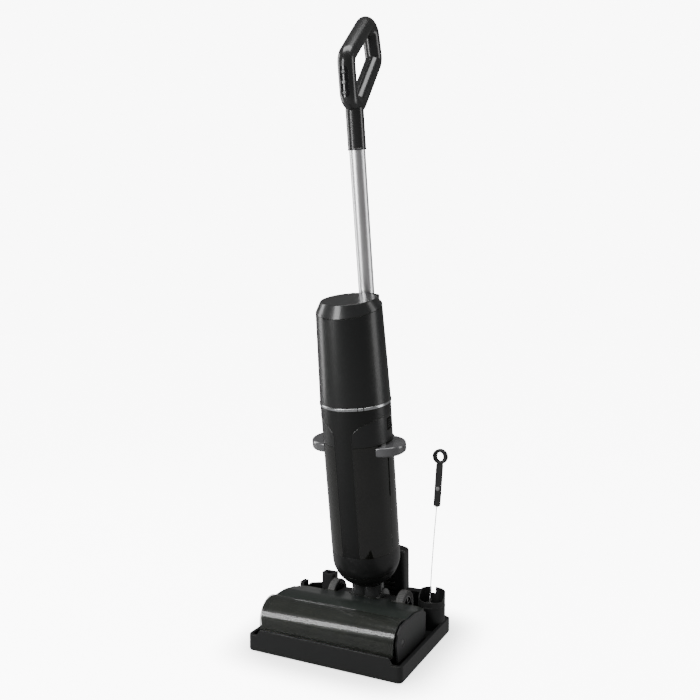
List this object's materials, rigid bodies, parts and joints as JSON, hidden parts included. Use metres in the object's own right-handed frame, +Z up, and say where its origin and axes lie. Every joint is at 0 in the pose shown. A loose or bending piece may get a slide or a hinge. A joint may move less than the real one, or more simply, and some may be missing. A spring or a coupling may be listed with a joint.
{
  "type": "wet dry floor scrubber",
  "caption": "Cordless upright floor washer with a roller head, smoked tank and loop handle, parked on a charging dock with a cleaning brush",
  "frame": {"origin": "on the floor under the dock, at the centre of the object's box", "axes": "+Z up, front of the machine towards -Y, +X to the right as seen from the front"},
  "size_m": [0.2953, 0.29, 1.127],
  "materials": {
    "dock_black": "fine matt texture",
    "shell_charcoal": "satin moulded",
    "head_green_grey": "satin moulded",
    "gloss_black": "glossy",
    "smoked_clear": "smoked, transparent",
    "hoop_smoke": "frosted smoke",
    "tube_alloy": "satin anodised",
    "ring_bright": "bright plated",
    "tyre_grey": "ribbed",
    "rubber_black": "soft",
    "nap_fabric": "short pile",
    "steel": "drawn",
    "brass": "plated",
    "board": "circuit board",
    "cell_wrap": "shrink wrap",
    "key_grey": "soft key",
    "bristle_grey": "nylon bristle"
  },
  "bodies": {
    "dock": {"dock_tray": "dock_black", "dock_base_plate": "dock_black", "dock_screws": "steel", "dock_feet": "rubber_black", "charging_tower": "dock_black", "power_inlet": "dock_black", "charge_pins": "brass", "brush_cup": "dock_black"},
    "cleaning_brush": {"brush_handle": "dock_black", "brush_wire": "steel", "brush_bristles": "bristle_grey"},
    "floor_head": {"head_chassis": "shell_charcoal", "head_contacts": "brass", "head_cover": "head_green_grey", "scraper": "rubber_black", "roller_motor": "steel", "suction_duct": "shell_charcoal", "wheel_axles": "steel", "drive_belt": "rubber_black"},
    "roller_lid": {"roller_cover": "smoked_clear", "cover_inserts": "gloss_black"},
    "roller": {"roller_core": "gloss_black", "roller_nap": "nap_fabric", "roller_idle_cap": "gloss_black", "roller_drive_hub": "gloss_black"},
    "motor_rotor": {"motor_pulley": "steel"},
    "left_wheel": {"left_wheel_tyre": "tyre_grey", "left_wheel_hub": "gloss_black"},
    "right_wheel": {"right_wheel_tyre": "tyre_grey", "right_wheel_hub": "gloss_black"},
    "neck": {"neck_yoke": "gloss_black"},
    "main_body": {"lower_shell": "shell_charcoal", "spine": "shell_charcoal", "trim_ring": "ring_bright", "upper_housing": "shell_charcoal", "top_cap": "shell_charcoal", "suction_motor": "tube_alloy", "battery_pack": "cell_wrap", "main_board": "board", "water_pump": "gloss_black"},
    "fan_rotor": {"fan": "gloss_black"},
    "release_button": {"release_key": "gloss_black"},
    "tank": {"front_frame": "shell_charcoal", "tank_vessel": "smoked_clear", "tank_lid": "shell_charcoal", "tank_seal": "rubber_black", "tank_filter": "nap_fabric", "clean_tank": "smoked_clear", "grip_hoop": "hoop_smoke"},
    "float": {"tank_float": "gloss_black"},
    "left_latch_button": {"left_latch": "gloss_black"},
    "right_latch_button": {"right_latch": "gloss_black"},
    "handle": {"handle_tube": "tube_alloy", "handle_shell_left": "shell_charcoal", "handle_shell_right": "shell_charcoal", "control_strip": "gloss_black", "handle_board": "board"},
    "mode_button": {"mode_key": "key_grey"},
    "clean_button": {"clean_key": "key_grey"},
    "power_button": {"power_key": "key_grey"}
  },
  "joints": [
    {"name": "lift_off", "type": "slide", "parent": "dock", "child": "floor_head", "axis": [0, 0, 1], "range_m": [0, 0.25]},
    {"name": "brush_lift", "type": "slide", "parent": "dock", "child": "cleaning_brush", "axis": [0.0593, 0, 0.9982], "range_m": [0, 0.11]},
    {"name": "cover_lift", "type": "slide", "parent": "floor_head", "child": "roller_lid", "axis": [0, 0, 1], "range_m": [0, 0.05]},
    {"name": "roller_spin", "type": "hinge", "parent": "floor_head", "child": "roller", "pos_m": [0, -0.101, 0.0515], "axis": [1, 0, 0], "continuous": true},
    {"name": "motor_spin", "type": "hinge", "parent": "floor_head", "child": "motor_rotor", "pos_m": [0, -0.03, 0.044], "axis": [1, 0, 0], "continuous": true},
    {"name": "left_wheel_spin", "type": "hinge", "parent": "floor_head", "child": "left_wheel", "pos_m": [0, 0.052, 0.0491], "axis": [1, 0, 0], "continuous": true},
    {"name": "right_wheel_spin", "type": "hinge", "parent": "floor_head", "child": "right_wheel", "pos_m": [0, 0.052, 0.0491], "axis": [1, 0, 0], "continuous": true},
    {"name": "recline", "type": "hinge", "parent": "floor_head", "child": "neck", "pos_m": [0, 0.052, 0.0491], "axis": [-1, 0, 0], "range_deg": [0, 60]},
    {"name": "steer", "type": "hinge", "parent": "neck", "child": "main_body", "pos_m": [0, 0.052, 0.0491], "axis": [0, -0.1685, 0.9857], "range_deg": [-40, 40]},
    {"name": "fan_spin", "type": "hinge", "parent": "main_body", "child": "fan_rotor", "pos_m": [0, 0.052, 0.0491], "axis": [0, -0.1685, 0.9857], "continuous": true},
    {"name": "release_press", "type": "slide", "parent": "main_body", "child": "release_button", "axis": [0, -0.9857, -0.1685], "range_m": [0, 0.0025], "stiffness_N_per_m": 250},
    {"name": "tank_pull", "type": "slide", "parent": "main_body", "child": "tank", "axis": [0, -0.9857, -0.1685], "range_m": [0, 0.11]},
    {"name": "float_rise", "type": "slide", "parent": "tank", "child": "float", "axis": [0, -0.1685, 0.9857], "range_m": [0, 0.015]},
    {"name": "left_latch_press", "type": "slide", "parent": "tank", "child": "left_latch_button", "axis": [1, 0, 0], "range_m": [0, 0.0025], "stiffness_N_per_m": 250},
    {"name": "right_latch_press", "type": "slide", "parent": "tank", "child": "right_latch_button", "axis": [-1, 0, 0], "range_m": [0, 0.0025], "stiffness_N_per_m": 250},
    {"name": "handle_pull", "type": "slide", "parent": "main_body", "child": "handle", "axis": [0, -0.1685, 0.9857], "range_m": [0, 0.09]},
    {"name": "mode_press", "type": "slide", "parent": "handle", "child": "mode_button", "axis": [0, 0.9857, 0.1685], "range_m": [0, 0.0008], "stiffness_N_per_m": 250},
    {"name": "clean_press", "type": "slide", "parent": "handle", "child": "clean_button", "axis": [0, 0.9857, 0.1685], "range_m": [0, 0.0008], "stiffness_N_per_m": 250},
    {"name": "power_press", "type": "slide", "parent": "handle", "child": "power_button", "axis": [0, 0.9857, 0.1685], "range_m": [0, 0.0008], "stiffness_N_per_m": 250}
  ],
  "couplings": [
    {"joint": "recline", "follows": "lift_off", "rad_per_m": 4.1884},
    {"joint": "motor_spin", "follows": "roller_spin", "ratio": 1.7143}
  ]
}
